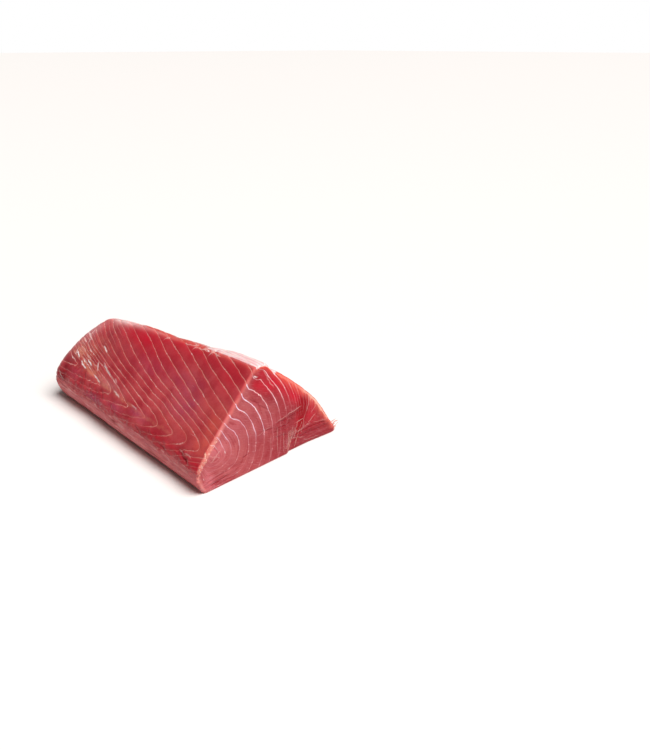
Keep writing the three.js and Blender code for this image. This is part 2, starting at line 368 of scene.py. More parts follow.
# Thin pale and dark lines on the same places: a row of points and a strength
strokes = {
    "tall": {
        # pale tissue lines; the first two, beside the gouge, are painted glints
        "pale": (
            (((15, 9.4), (17, 10), (19, 9.6)), 0.35), (((24, 8), (26, 8.4)), 0.35),
            (((173, 35), (158, 30), (148, 27), (136, 24)), 0.4), (((232, 6), (226, 3)), 0.5),
            (((74, 88), (70, 87.6), (66, 88.4)), 0.7), (((50.4, 89.6), (47, 88.2), (43.9, 88.4)), 0.7),
            (((64, 88.6), (61, 87.8)), 0.5), (((119.4, 87), (120.4, 83.4)), 0.8),
            (((92, 86.6), (88, 86), (84, 86.8)), 0.6), (((76, 90), (76.8, 86.4)), 0.6),
            (((53, 91), (54, 87.6)), 0.6),
        ),
        # white flecks of fat, and painted glints on the ridge
        "white": (
            (((189.4, 48), (182, 45.6)), 1.0), (((198, 29.6), (190, 27.5)), 1.0),
            (((170, 33), (158, 29)), 0.7), (((181, 31.4), (178, 27.6)), 0.9),
            (((207, 25), (201, 23), (196, 22.4)), 1.0), (((176, 21), (171, 20), (167, 18.9)), 0.7),
            (((138, 19.4), (130, 17.8)), 0.5), (((225, 30.6), (218, 28)), 1.0),
            (((229, 33), (227, 29.5)), 0.4), (((106, 17.8), (101, 17)), 0.3),
            (((60, 89.2), (58.8, 88.8)), 0.9), (((146, 28), (143, 27)), 0.3),
            (((232, 56), (231, 52)), 0.5), (((224, 48), (222, 44)), 0.4),
        ),
        "fat": (
            (((230.8, 29.7), (221.9, 28.3), (216.2, 27.3)), 0.7),
            (((227.6, 34.3), (213.7, 30.2), (201.6, 24.9)), 0.9),
            (((232.4, 41.9), (213.7, 35.4), (198.3, 31.3)), 0.5),
            (((194.2, 23.9), (186.1, 21.7), (179.6, 21.3)), 1.0),
            (((183.7, 24.8), (173.9, 23.2), (165.8, 21.6)), 0.6),
            (((165, 18.4), (156, 18), (149.5, 17.9)), 0.6),
            (((133.3, 18.6), (120.3, 17.2), (108.1, 17.1)), 0.5),
            (((100.8, 16.2), (88.6, 15.2), (80.5, 15)), 0.4), (((78, 15.6), (63.4, 15.1)), 0.3),
            (((58.5, 16.5), (50.4, 15.2)), 0.3),
        ),
        # dark nicks along the bottom of the tall side, sunk a little and painted dark: their own dark red,
        # and painted shade in them
        "dark": (
            (((16, 4), (22, 5.5)), 1.0), (((46, 2.5), (53, 4)), 0.8), (((66, 5), (72, 8)), 0.6),
            (((84, 3), (90, 5)), 0.7), (((103, 8), (112, 6)), 0.5), (((126, 4), (134, 7)), 0.6),
            (((150, 9), (156, 13)), 0.6), (((170, 6), (176, 11)), 0.6), (((186, 12), (190, 17)), 0.6),
        ),
    },
    "cut": {
        "pale": (
            (((-14, 30.5), (-4, 33)), 0.15), (((8, 35.6), (14, 36.4)), 0.25),
            (((19, 37.4), (29.9, 39.4)), 0.4), (((-6.3, 82), (-2.5, 76.5), (1.7, 71)), 0.3),
            (((-61, 26), (-55, 31)), 0.25), (((-62, 30), (-56, 27)), 0.2),
            (((16, 5.6), (18.1, 10), (20.5, 17.8)), 0.3),
            (((19.8, 6.9), (22.8, 14.2), (24.4, 20.1)), 0.25),
            (((26.2, 10.1), (28, 16), (30.3, 23.5)), 0.3),
            (((21, 11.3), (29.4, 9.2), (35.8, 7.2)), 0.2), (((-3, 6), (-2, 22)), 0.15),
            (((5, 8), (5.5, 27)), 0.2), (((12, 4), (12.5, 20)), 0.2), (((42, 18), (50, 24)), 0.3),
            (((40, 2.8), (52, 2.4)), 0.2), (((27, 14.4), (44, 17.5)), 0.2),
            (((52, 17), (64, 15.6)), 0.15), (((41, 34), (41.5, 44)), 0.35), (((36, 14), (39, 27)), 0.2),
            (((48, 30), (54, 38)), 0.25),
        ),
        # dark lines of the cut end, sunk a little; those just under the pale ledge line, about 31 to 36 up,
        # are painted shadow under the ledge
        "dark": (
            (((-10, 32), (-0.5, 31)), 0.7), (((5, 28.7), (19.6, 28)), 0.9),
            (((0.3, 26.5), (18.7, 24)), 0.7), (((5, 20.4), (15, 19)), 0.8),
            (((-30.3, 17), (-27.7, 17.3)), 0.8), (((-21.4, 65.3), (-14.3, 60.4)), 0.5),
            (((-12.7, 57.3), (-5.4, 51.6)), 0.5),
            (((7.7, 33.8), (15.3, 33.6), (27.3, 35), (33.2, 35.8)), 1.0),
            (((21.2, 10.8), (33, 13.6), (45.5, 14.2), (60, 14.1)), 1.0),
            (((26, 7.6), (38, 9.6), (62, 10)), 0.8), (((-63, 4.7), (-50, 6.8)), 0.7),
            (((-66, 9), (-52, 11)), 0.4), (((-60, 2.4), (-42, 3.4)), 0.4), (((22, 16), (30, 19)), 0.8),
            (((36, 28), (37.5, 44)), 0.6), (((20, 34), (24, 30)), 0.6),
        ),
        # a painted glint at the apex
        "white": ((((-15.6, 83.6), (-15.4, 83.5)), 0.9),),
    },
}
marks = {
    "far": 12,  # an edge is not felt further away than this
    "presence": {"pale": 2.2, "dark": 2.2, "white": 1.5, "fat": 4.5},  # how far strokes are felt
}


def patchSum(side, kind, a, b):
    total = 0
    for atA, atB, reachA, reachB, strength in patches[side].get(kind, ()):
        total += strength * bell(a - atA, reachA) * bell(b - atB, reachB)
    return min(total, 1)


# The signed distance from the nearest of the strokes of one kind, and how strong it is here
def strokeAt(side, kind, a, b):
    nearest, off, strength = math.inf, 0, 0
    for points, amount in strokes[side].get(kind, ()):
        for (startA, startB), (endA, endB) in zip(points, points[1:]):
            alongA, alongB = endA - startA, endB - startB
            length = math.hypot(alongA, alongB)
            k = ((a - startA) * alongA + (b - startB) * alongB) / length**2
            k = min(max(k, 0), 1)
            distance = math.hypot(a - startA - k * alongA, b - startB - k * alongB)
            if distance < nearest:
                nearest = distance
                off = ((a - startA) * alongB - (b - startB) * alongA) / length
                strength = amount
    return off, strength * bell(nearest, marks["presence"][kind])


# Everything about a surface point that the relief and the colours need
class Spot:
    def __init__(self, along, across, up):
        self.up = up
        self.yz = sectionPoint(along, across, up)
        self.x = along * loin["length"]
        self.fromCut = loin["length"] - self.x
        ridge, shoulder = cornersAt(along)[2], cornersAt(along)[3]
        upwards = (ridge - shoulder).normalized()
        self.rise = (self.yz - shoulder).dot(upwards)
        self.inside = (self.yz - shoulder).dot(Vector((upwards.y, -upwards.x)))
        self.offRidge = (self.yz - ridge).length
        self.onTall = up > 1 - tiny
        self.onBand = across < tiny
        self.onSkin = across > 1 - tiny
        self.onBase = up < tiny
        self.onCut = along > 1 - tiny
        self.behindRidge = self.onSkin and not self.onTall
        self.side = "tall" if self.onTall else "cut" if self.onCut else "band" if self.onBand else "skin"
        self.phase = sheetPhase(along, self.yz)
        self.offSheet = 2 * abs(self.phase - round(self.phase))  # 0 on a sheet and 1 midway

    def onFace(self):
        return (self.fromCut, self.rise) if self.onTall else tuple(self.yz)

    def noise(self, size, shift=0):
        return noise.noise(Vector((self.x + shift, self.yz.x, self.yz.y)) / size)


relief = {
    "pillow": {"tall": 0.35, "cut": 0.12, "band": 0.1, "skin": 0.25},  # between the sheets
    "lumps": ((22, 0.45), (7, 0.14), (2.6, 0.06)),  # size and height of three grades of noise
    "lumpsOnCut": 0.4,  # the share of them that shows there
    "ridgeBite": {
        "depth": 1.5, "reach": 3, "size": 5, "shift": 40, "over": 0.1,
        "from": 34, "to": 92, "blend": 6, "elsewhere": 0.2, "onSkin": 0.25,
    },
    "notch": {"depth": 0.7, "halfWidth": 0.09, "reach": 3.5, "starts": (8, 20)},
    "nick": {"fromCut": (119, 75.5, 52.5), "depth": 1.5, "halfWidth": 1.0, "reach": 3},
    "dent": {"depth": 1.6, "from": 50, "to": 132, "blend": 22, "reach": {"tall": 5, "skin": 16}},
    "edgeTear": {"depth": 1.1, "reach": 2.5, "size": 2.0, "shift": 80, "ends": (25, 45)},
    "bandNick": {"depth": 0.9, "reach": 3, "size": 3.5, "shift": 120},
    "torn": {"height": 0.9, "size": 3.5, "shift": 60},
    "gouge": 1.5,
    "dash": {"depth": 0.35, "halfWidth": 1.1},
    "rim": {"depth": 0.6, "reach": 2.5, "starts": (2, 12)},
    "bandFibre": {"height": 0.22, "wide": 1.6, "long": 14, "slant": 0.25, "shift": 5},
    "offBase": (-0.5, 3),  # all relief fades towards the base between these heights
}


def endAt(value, low, high):
    return 1 - smoothStep(value, low, high)


# 1 between two places, with a fade just inside each
def between(value, rule):
    low, high, blend = rule["from"], rule["to"], rule["blend"]
    return smoothStep(value, low, low + blend) * endAt(value, high - blend, high)


# These functions give the parts of the relief one by one, in millimetres
def broadRelief(spot):
    yield relief["pillow"][spot.side] * (1 - (1 - spot.offSheet) ** 3)
    for size, strength in relief["lumps"]:
        yield strength * spot.noise(size) * (relief["lumpsOnCut"] if spot.onCut else 1)


def ridgeRelief(spot):
    bite = relief["ridgeBite"]
    nearRidge = bell(spot.offRidge, bite["reach"]) * (bite["onSkin"] if spot.behindRidge else 1)
    nearRidge *= lerp(bite["elsewhere"], 1, between(spot.fromCut, bite))
    yield -bite["depth"] * nearRidge * max(spot.noise(bite["size"], bite["shift"]) - bite["over"], 0)
    notch = relief["notch"]
    if spot.onTall:
        depth = notch["depth"] * smoothStep(spot.fromCut, *notch["starts"])
        yield -depth * bell(spot.offSheet / 2, notch["halfWidth"]) * bell(spot.offRidge, notch["reach"])
    dent = relief["dent"]
    reach = dent["reach"]["skin" if spot.side == "skin" else "tall"]
    yield -dent["depth"] * between(spot.fromCut, dent) * bell(spot.offRidge, reach)
    nick = relief["nick"]
    for fromCut in nick["fromCut"]:
        depth = nick["depth"] * bell(spot.fromCut - fromCut, nick["halfWidth"])
        yield -depth * bell(spot.offRidge, nick["reach"])


def tornRelief(spot):
    if spot.onTall or spot.onBand or spot.onCut:
        tear = relief["edgeTear"]
        nearCut = bell(spot.fromCut if spot.onTall or spot.onBand else spot.inside, tear["reach"])
        low = endAt(spot.yz.y, *tear["ends"])
        yield tear["depth"] * low * nearCut * spot.noise(tear["size"], tear["shift"])
    if spot.onBand or spot.onTall:
        nick = relief["bandNick"]
        nearShoulder = bell(spot.rise, nick["reach"])
        yield -nick["depth"] * nearShoulder * max(spot.noise(nick["size"], nick["shift"]), 0)
    if spot.onTall:
        torn = relief["torn"]
        loose = torn["height"] * patchSum("tall", "torn", *spot.onFace())
        yield loose * spot.noise(torn["size"], torn["shift"])
        yield -relief["gouge"] * patchSum("tall", "gouge", *spot.onFace())


def fineRelief(spot):
    if spot.onTall or spot.onCut:
        dash = relief["dash"]
        off, strength = strokeAt(spot.side, "dark", *spot.onFace())
        yield -dash["depth"] * strength * bell(off, dash["halfWidth"])
    if spot.onSkin:
        rim = relief["rim"]
        yield -rim["depth"] * bell(spot.fromCut, rim["reach"]) * smoothStep(spot.yz.y, *rim["starts"])
    if spot.onBand:
        fibre = relief["bandFibre"]
        slanted = Vector((spot.x + spot.yz.y, spot.yz.y - fibre["slant"] * spot.x, 0))
        place = Vector((slanted.x / fibre["long"], slanted.y / fibre["wide"], fibre["shift"]))
        yield fibre["height"] * noise.noise(place)


def reliefAt(spot):
    height = 0
    for kind in (broadRelief, ridgeRelief, tornRelief, fineRelief):
        for part in kind(spot):
            height += part
    return height * smoothStep(spot.yz.y, *relief["offBase"])


# What the flesh material reads at each point. Most are amounts from 0 to 1.
paintKinds = (
    "dark", "lilac", "veil", "scarlet", "crimson", "glow", "fat", "brown", "pale", "skin", "tissue",
    "blush", "cut", "lines", "half", "fleck", "torn", "fan", "fringe", "strip", "ruby", "shade",
    "crest", "salmon",
)
strokeKinds = ("pale", "dark", "white", "fat")
presenceKinds = tuple(kind + "Stroke" for kind in strokeKinds)
# These are distances in millimetres: from the edge between the tall side and the cut end, from the
# edge between the skin side and the cut end, up from the shoulder, and from the nearest stroke.
distanceKinds = ("edge", "rim", "shoulder", *(kind + "Off" for kind in strokeKinds))
allKinds = paintKinds + presenceKinds + distanceKinds

# How strong the paint is. A pair of numbers is where a fade starts and ends.
paintRules = {
    "fringe": {"starts": (8, 16), "ends": (38, 50)},
    "salmonEnds": (44, 62),
    "glow": {"strength": 0.8, "reach": 5},
    "tall": {
        "lines": 0.74,
        "ridge": {"starts": (60, 80), "ends": (190, 215), "reach": 8, "loss": 0.7},
        "tips": {"rise": 15, "higher": 4, "starts": (150, 200), "blend": 9, "left": 0.3},
        "half": {"strength": 0.6, "starts": (165, 195), "startsUp": (22, 32)},
        "edgeNarrowing": 2.6,
        "farEnd": {"strength": 0.35, "reach": 2.5},
    },
    "cut": {
        "lines": 1.2,
        "right": {"starts": (-25, 20), "endsUp": (30, 60), "loss": 0.8},
        "below": {"endsUp": (16, 44), "share": 0.85},
        "axis": {"y": -60, "z": 26, "reach": 16, "loss": 0.45},
        "across": {"starts": (-4, 26), "loss": 0.45},
        "crimsonLoss": 0.8,
        "torn": {"starts": (8, 22), "endsUp": (26, 46), "loss": 0.9},
        "ridge": {"off": 6, "reach": 5, "loss": 0.6},
        "half": {"strength": 0.3, "starts": (10, 30), "startsUp": (24, 40)},
        "ruby": {"starts": (-8, 16), "startsUp": (48, 66), "upperStarts": (-26, -14)},
        "rimAtRidge": {"starts": (68, 82), "times": 1.8},
        "rimLower": ((6, (0, 5)), (2, (10, 30))),  # how far the rim is set off, and where that ends
    },
    "band": {"lines": 0.2, "torn": 0.5, "height": 22, "fromEdge": 1.5},
    "skin": {"lines": 0.55, "half": 0.2, "fromRim": 2, "starts": (5, 18)},
    # with a painted pale sheen on the far end
    "farEnd": {"lines": 0.7, "veil": 0.2},
    # the crest of the ridge, painted with a glow where it catches the light, with a painted pale sheen and
    # scraps of tissue on it, and a painted pale sheen behind it
    "crest": {"strength": 0.65, "reach": {"tall": 3, "skin": 8}, "starts": (20, 50)},
    "ridgeSheen": {"strength": 0.35, "reach": 1.6, "ends": (30, 55)},
    "ridgeScraps": {
        "strength": 0.9, "reach": 2.2, "starts": (36, 42), "ends": (82, 92),
        "size": 4, "shift": 3, "fade": (-0.03, 0.15),
    },
    "backSheen": {"strength": 0.55, "off": 9, "reach": 3, "starts": (45, 60), "ends": (105, 130)},
    # pale tissue beside the ridge, painted near white, which also stands for the glare on it: its breadth
    # at the cut end and at the far end, and its fades by x
    "strip": {
        "low": -1, "high": 2, "cutEnd": 24, "farEnd": 10, "blend": 2, "farStrength": 0.8,
        "starts": (158, 190), "widens": (158, 225), "ends": (60, 100), "narrows": (40, 150),
    },
}


def paintLayer(kind):
    return "paint" + kind[0].upper() + kind[1:]


def startToEnd(value, rule):
    return smoothStep(value, *rule["starts"]) * endAt(value, *rule["ends"])


def paintFace(spot, paint):
    for kind in patches[spot.side]:
        if kind in paint:
            paint[kind] = patchSum(spot.side, kind, *spot.onFace())
    for kind in strokeKinds:
        paint[kind + "Off"], paint[kind + "Stroke"] = strokeAt(spot.side, kind, *spot.onFace())
    paint["fringe"] = startToEnd(spot.yz.y, paintRules["fringe"])


def paintTall(spot, paint):
    rules = paintRules["tall"]
    paintFace(spot, paint)
    # the gouges are sunk and also painted dark: their own dark red, and painted shade in them
    paint["dark"] = max(paint["dark"], patchSum("tall", "gouge", *spot.onFace()))
    ridge, tips, half = rules["ridge"], rules["tips"], rules["half"]
    loss = ridge["loss"] * startToEnd(spot.fromCut, ridge) * bell(spot.offRidge, ridge["reach"])
    # the lines fade below the tips of the sheets
    top = tips["rise"] + tips["higher"] * smoothStep(spot.fromCut, *tips["starts"])
    aboveTips = smoothStep(spot.rise, top - tips["blend"], top)
    paint["lines"] = rules["lines"] * (1 - loss) * lerp(tips["left"], 1, aboveTips)
    paint["half"] = half["strength"] * smoothStep(spot.fromCut, *half["starts"])
    paint["half"] *= smoothStep(spot.rise, *half["startsUp"])
    paint["edge"] = min(rules["edgeNarrowing"] * spot.fromCut, marks["far"])
    paint["tissue"] = rules["farEnd"]["strength"] * bell(spot.x, rules["farEnd"]["reach"])
    paint["shoulder"] = min(spot.rise, marks["far"])


def cutLines(spot, crimson):
    rules = paintRules["cut"]
    y, z = spot.yz
    right, below, across = rules["right"], rules["below"], rules["across"]
    axis, torn, ridge = rules["axis"], rules["torn"], rules["ridge"]
    lowerRight = smoothStep(y, *right["starts"]) * endAt(z, *right["endsUp"])
    faint = max(lowerRight, below["share"] * endAt(z, *below["endsUp"]))
    lines = rules["lines"] * (1 - right["loss"] * faint)
    nearAxis = axis["loss"] * bell(y - axis["y"], axis["reach"])
    lines *= 1 - nearAxis * bell(z - axis["z"], axis["reach"])
    faded = 1 - across["loss"] * smoothStep(y, *across["starts"])
    lines *= faded * (1 - rules["crimsonLoss"] * crimson)
    lines *= 1 - torn["loss"] * smoothStep(y, *torn["starts"]) * endAt(z, *torn["endsUp"])
    return lines * (1 - ridge["loss"] * bell(spot.offRidge - ridge["off"], ridge["reach"]))


def paintCut(spot, paint):
    rules = paintRules["cut"]
    y, z = spot.yz
    paintFace(spot, paint)
    paint["cut"] = 1
    ruby, half, ridge = rules["ruby"], rules["half"], rules["rimAtRidge"]
    upper = smoothStep(z, *ruby["startsUp"]) * smoothStep(y, *ruby["upperStarts"])
    paint["ruby"] = max(smoothStep(y, *ruby["starts"]), upper)
    foot, shoulder = cornersAt(1)[0], cornersAt(1)[3]
    down = (foot - shoulder).normalized()
    fromBand = (spot.yz - shoulder).dot(Vector((-down.y, down.x)))
    paint["edge"] = min(spot.inside, fromBand + paintRules["band"]["fromEdge"], marks["far"])
    fromSkin = (sidePoint(1, 1, spot.up) - spot.yz).length
    fromSkin *= lerp(1, ridge["times"], smoothStep(z, *ridge["starts"]))
    fromSkin += sum(off * endAt(z, *ends) for off, ends in rules["rimLower"])
    paint["rim"] = min(fromSkin, marks["far"])
    paint["lines"] = cutLines(spot, paint["crimson"])
    paint["half"] = half["strength"] * smoothStep(y, *half["starts"]) * smoothStep(z, *half["startsUp"])


def paintBand(spot, paint):
    rules = paintRules["band"]
    for kind in patches["band"]:
        paint[kind] = patchSum("band", kind, spot.fromCut, spot.yz.y)
    paint.update(lines=rules["lines"], torn=rules["torn"])
    paint["shoulder"] = -marks["far"] if spot.onBase else spot.yz.y - rules["height"]
    paint["edge"] = min(rules["fromEdge"] + spot.fromCut, marks["far"])


def paintSkin(spot, paint):
    rules = paintRules["skin"]
    paint.update(lines=rules["lines"], half=rules["half"])
    paint["rim"] = min(rules["fromRim"] + spot.fromCut, marks["far"])
    paint["skin"] = smoothStep(spot.offRidge, *rules["starts"])


# on the ridge: a painted glow along the crest, a painted pale sheen, and scraps of tissue
def paintRidge(spot, paint):
    crest, veil, torn = (paintRules[name] for name in ("crest", "ridgeSheen", "ridgeScraps"))
    nearRidge = bell(spot.offRidge, crest["reach"]["tall" if spot.onTall else "skin"])
    paint["crest"] = crest["strength"] * nearRidge * smoothStep(spot.fromCut, *crest["starts"])
    nearRidge = bell(spot.offRidge, veil["reach"])
    paint["veil"] += veil["strength"] * nearRidge * endAt(spot.fromCut, *veil["ends"])
    amount = torn["strength"] * startToEnd(spot.fromCut, torn) * bell(spot.offRidge, torn["reach"])
    amount *= smoothStep(spot.noise(torn["size"], torn["shift"]), *torn["fade"])
    paint["tissue"] = max(paint["tissue"], amount)


# behind the ridge: a painted pale sheen, and the pale strip
def paintBehindRidge(spot, paint):
    veil, strip = paintRules["backSheen"], paintRules["strip"]
    amount = veil["strength"] * startToEnd(spot.fromCut, veil)
    amount *= bell(spot.offRidge - veil["off"], veil["reach"])
    paint["veil"] = max(paint["veil"], amount)
    high = strip["high"] + strip["cutEnd"] * smoothStep(spot.x, *strip["widens"])
    high += strip["farEnd"] * endAt(spot.x, *strip["narrows"])
    atFarEnd = strip["farStrength"] * endAt(spot.x, *strip["ends"])
    kept = max(smoothStep(spot.x, *strip["starts"]), atFarEnd)
    kept *= smoothStep(spot.offRidge, strip["low"], strip["low"] + strip["blend"])
    paint["strip"] = kept * endAt(spot.offRidge, high - 2 * strip["blend"], high)


def paintAt(spot):
    paint = dict.fromkeys(paintKinds + presenceKinds, 0)
    paint.update(dict.fromkeys(distanceKinds, marks["far"]))
    if spot.onTall:
        paintTall(spot, paint)
    elif spot.onCut:
        paintCut(spot, paint)
    elif spot.onBand or spot.onBase:
        paintBand(spot, paint)
    elif spot.onSkin:
        paintSkin(spot, paint)
    else:
        paint.update(paintRules["farEnd"])
    glow = paintRules["glow"]
    paint["glow"] = max(paint["glow"], glow["strength"] * bell(spot.offRidge, glow["reach"]))
    paint["salmon"] = endAt(spot.yz.y, *paintRules["salmonEnds"])
    if spot.onTall or spot.onSkin:
        paintRidge(spot, paint)
    if spot.behindRidge:
        paintBehindRidge(spot, paint)
    return paint


def crowded(k):
    return k - loin["gridCrowding"] * math.sin(2 * math.pi * k) / (2 * math.pi)


def addObject(name, data):
    made = bpy.data.objects.new(name, data)
    bpy.context.scene.collection.objects.link(made)
    return made


def finishPiece(bm, name, material):
    mesh = bpy.data.meshes.new(name)
    bm.to_mesh(mesh)
    bm.free()
    mesh.shade_smooth()
    mesh.materials.append(material)
    piece = addObject(name, mesh)
    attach(piece, "root")
    return piece


def griddedBox(cells):
    bm = bmesh.new()
    bmesh.ops.create_cube(bm, size=1)
    for axis, count in enumerate(cells):
        edges = [e for e in bm.edges if abs((e.verts[0].co - e.verts[1].co)[axis]) > tiny]
        bmesh.ops.subdivide_edges(bm, edges=edges, cuts=count - 1, use_grid_fill=True)
    return bm


def makeLoin(material):
    bm = griddedBox(loin["grid"])
    spots = []
    for vert in bm.verts:
        along, across, up = (crowded(round(value + 0.5, digits["grid"])) for value in vert.co)
        spots.append(Spot(along, across, up))
        vert.co = loinPoint(along, across, up)
    print("loin placed,", len(spots), "points")

    # put it on the CAD solid, which has the same shape without the fine relief
    low = Vector(min(v.co[i] for v in bm.verts) for i in range(3))
    high = Vector(max(v.co[i] for v in bm.verts) for i in range(3))
    cadLow, cadHigh = (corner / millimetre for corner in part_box("tuna_loin"))
    shift = (cadLow + cadHigh) / 2 - (low + high) / 2
    shift.z = cadLow.z - low.z
    bmesh.ops.translate(bm, verts=bm.verts, vec=shift)
    bmesh.ops.recalc_face_normals(bm, faces=bm.faces)
    bm.normal_update()

    for name in ("sheetPhase", "sheetPitch", *(paintLayer(kind) for kind in allKinds)):
        bm.verts.layers.float.new(name)
    numbers = bm.verts.layers.float
    phaseLayer, pitchLayer = numbers["sheetPhase"], numbers["sheetPitch"]
    layers = {kind: numbers[paintLayer(kind)] for kind in allKinds}
    for vert, spot in zip(bm.verts, spots):
        vert[phaseLayer] = spot.phase
    for vert in bm.verts:
        steps = []
        for edge in vert.link_edges:
            step = edge.other_vert(vert)[phaseLayer] - vert[phaseLayer]
            steps.append(step / edge.calc_length())
        # over all directions, the mean of the squares is half the square of the steepest
        slope = math.sqrt(sum(step**2 for step in steps) * 2 / len(steps))
        vert[pitchLayer] = min(max(1 / max(slope, tiny), sheets["pitch"][0]), sheets["pitch"][1])
    heights = []
    for vert, spot in zip(bm.verts, spots):
        for kind, value in paintAt(spot).items():
            vert[layers[kind]] = value
        heights.append(reliefAt(spot))
    for vert, height in zip(bm.verts, heights):
        vert.co += vert.normal * height
        vert.co.z = max(vert.co.z, 0)
    bmesh.ops.scale(bm, vec=(millimetre,) * 3, verts=bm.verts)
    print("loin shaped")
    piece = finishPiece(bm, "loin_flesh", material)
    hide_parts("tuna_loin")
    return shift


# Torn scraps of tissue: strands in the step, frayed bits at the toe, lumps along the cut's edge and
# flakes on the ridge. Each is a short tapering strand that follows the surface.
scraps = {
    "seed": 7,
    "sides": 6,
    "rings": 8,
    "blunt": 0.02,  # keeps the ends from closing in a point
    "lift": 0.3,  # off the surface, as a fraction of the thickness
    "waves": 2.5,  # how often a strand bends from side to side
    "glance": 0.01,  # ahead and back, to tell the direction
    "step": {
        "routes": (  # across and up on the cut end
            ((13.6, 0.8), (16, 5.6), (18.1, 10), (20.5, 17.8), (21.8, 22.5)),
            ((17.1, 0.8), (19.8, 6.9), (22.8, 14.2), (24.4, 20.1)),
            ((24.1, 0.8), (26.2, 6.7), (29.6, 15), (31.7, 20.1), (35.2, 26.9)),
            ((24.3, 24.2), (30.7, 25.4), (35.2, 25.6)),
        ),
        "neighbours": 2, "apart": 1.6, "aside": (-1, 1), "above": (-0.5, 0.5),
        "width": (0.1, 0.19), "thickness": 0.2, "outwards": (1, 0, 0), "wobble": 0.5, "shift": 0,
    },
    "toe": {
        "count": 12, "y": (67, 72), "z": (1, 10), "back": (0, 3), "lowest": 0.8,
        "turnX": (-0.3, 0.3), "turnZ": (-0.4, 0.5), "length": (2.5, 7),
        "width": (0.25, 0.5), "thickness": 0.25, "outwards": (0.5, 0, 1), "wobble": 1.0, "shift": 20,
    },
    "edge": {
        "count": 16, "z": (16, 46), "back": (0, 0.8), "inside": (0.5, 3.5),
        "turnY": (-0.3, 1), "turnZ": (-1, 1), "length": (1, 2.2),
        "width": (0.25, 0.45), "thickness": 0.3, "outwards": (1, -0.4, 0.2), "wobble": 0.3, "shift": 40,
    },
    "ridge": {
        "fromCut": (56, 66, 72, 75, 84, 90), "off": (-1.5, 1.5), "turn": (-1, 1), "length": (2, 4),
        "sunk": 2.4, "fall": 0.6,
        "width": (0.3, 0.6), "thickness": 0.4, "outwards": (0, -0.2, 1), "wobble": 0.7, "shift": 70,
    },
}


# path gives a place and the direction away from the flesh for a fraction of the strand's length
def addStrand(bm, path, width, thickness):
    older = len(bm.verts)
    bmesh.ops.create_cone(bm, cap_ends=True, segments=scraps["sides"], radius1=1, radius2=1, depth=1)
    bm.verts.ensure_lookup_table()
    ends = bm.verts[older:]
    long = {e for v in ends for e in v.link_edges if abs(e.verts[0].co.z - e.verts[1].co.z) > 0.5}
    bmesh.ops.subdivide_edges(bm, edges=list(long), cuts=scraps["rings"])
    bm.verts.ensure_lookup_table()
    for vert in bm.verts[older:]:
        t = vert.co.z + 0.5
        place, outwards = path(t)
        ahead, back = min(t + scraps["glance"], 1), max(t - scraps["glance"], 0)
        forwards = (path(ahead)[0] - path(back)[0]).normalized()
        sideways = forwards.cross(outwards).normalized()
        taper = math.sqrt(max(1 - (2 * t - 1) ** 2, scraps["blunt"]))
        wide, thick = vert.co.x * width * taper, vert.co.y * thickness * taper
        vert.co = place + sideways * wide + outwards * (thick + scraps["lift"] * thickness)


def wobblyPath(points, outwards, wobble, shift):
    def path(t):
        k = min(max(t, 0), 1) * (len(points) - 1)
        i = min(int(k), len(points) - 2)
        bend = noise.noise_vector(Vector((t * scraps["waves"], shift, 0))) * wobble
        return points[i].lerp(points[i + 1], k - i) + bend, outwards

    return path


def addScrap(bm, draw, kind, points, number):
    outwards = Vector(kind["outwards"]).normalized()
    path = wobblyPath(points, outwards, kind["wobble"], kind["shift"] + number)
    addStrand(bm, path, draw.uniform(*kind["width"]), kind["thickness"])


def onCutEnd(y, z):
    return Vector((loin["length"] - stepBack(1, Vector((y, z))), y, z))


def addStepStrands(bm, draw):
    step = scraps["step"]
    for i, route in enumerate(step["routes"]):
        for j in range(step["neighbours"]):
            aside = Vector((0, draw.uniform(*step["aside"]), draw.uniform(*step["above"])))
            aside = aside * step["apart"] * min(j, 1)
            first = draw.randrange(2) if j else 0
            last = len(route) - (draw.randrange(2) if j else 0)
            points = [onCutEnd(y, z) + aside for y, z in route[first:last]]
            if len(points) > 1:
                addScrap(bm, draw, step, points, 10 * i + j)


def addToeFibres(bm, draw):
    toe = scraps["toe"]
    for i in range(toe["count"]):
        start = onCutEnd(draw.uniform(*toe["y"]), draw.uniform(*toe["z"]))
        start -= Vector((draw.uniform(*toe["back"]), 0, 0))
        turn = Vector((draw.uniform(*toe["turnX"]), 1, draw.uniform(*toe["turnZ"]))).normalized()
        end = start + turn * draw.uniform(*toe["length"])
        end.z = max(end.z, toe["lowest"])
        addScrap(bm, draw, toe, [start, end], i)


def addEdgeScraps(bm, draw):
    edge = scraps["edge"]
    foot, ridge, shoulder = cornersAt(1)[0], cornersAt(1)[2], cornersAt(1)[3]
    for i in range(edge["count"]):
        z = draw.uniform(*edge["z"])
        k = (z - shoulder.y) / (ridge.y - shoulder.y)
        yz = shoulder.lerp(ridge, k) if k > 0 else foot.lerp(shoulder, z / shoulder.y)
        x = loin["length"] - draw.uniform(*edge["back"])
        start = Vector((x, yz.x + draw.uniform(*edge["inside"]), z))
        turn = Vector((0, draw.uniform(*edge["turnY"]), draw.uniform(*edge["turnZ"]))).normalized()
        end = start + turn * draw.uniform(*edge["length"])
        addScrap(bm, draw, edge, [start, end], i)


def addRidgeFlakes(bm, draw):
    flakes = scraps["ridge"]
    for i, fromCut in enumerate(flakes["fromCut"]):
        length = draw.uniform(*flakes["length"])
        off = draw.uniform(*flakes["off"])
        alongs = ((loin["length"] - fromCut + d) / loin["length"] for d in (-length / 2, length / 2))
        start, end = (loinPoint(round(along, digits["grid"]), 1, 1) for along in alongs)
        down = -flakes["sunk"] - abs(off) * flakes["fall"]
        start += Vector((0, off, down))
        end += Vector((0, off + draw.uniform(*flakes["turn"]), down))
        addScrap(bm, draw, flakes, [start, end], i)


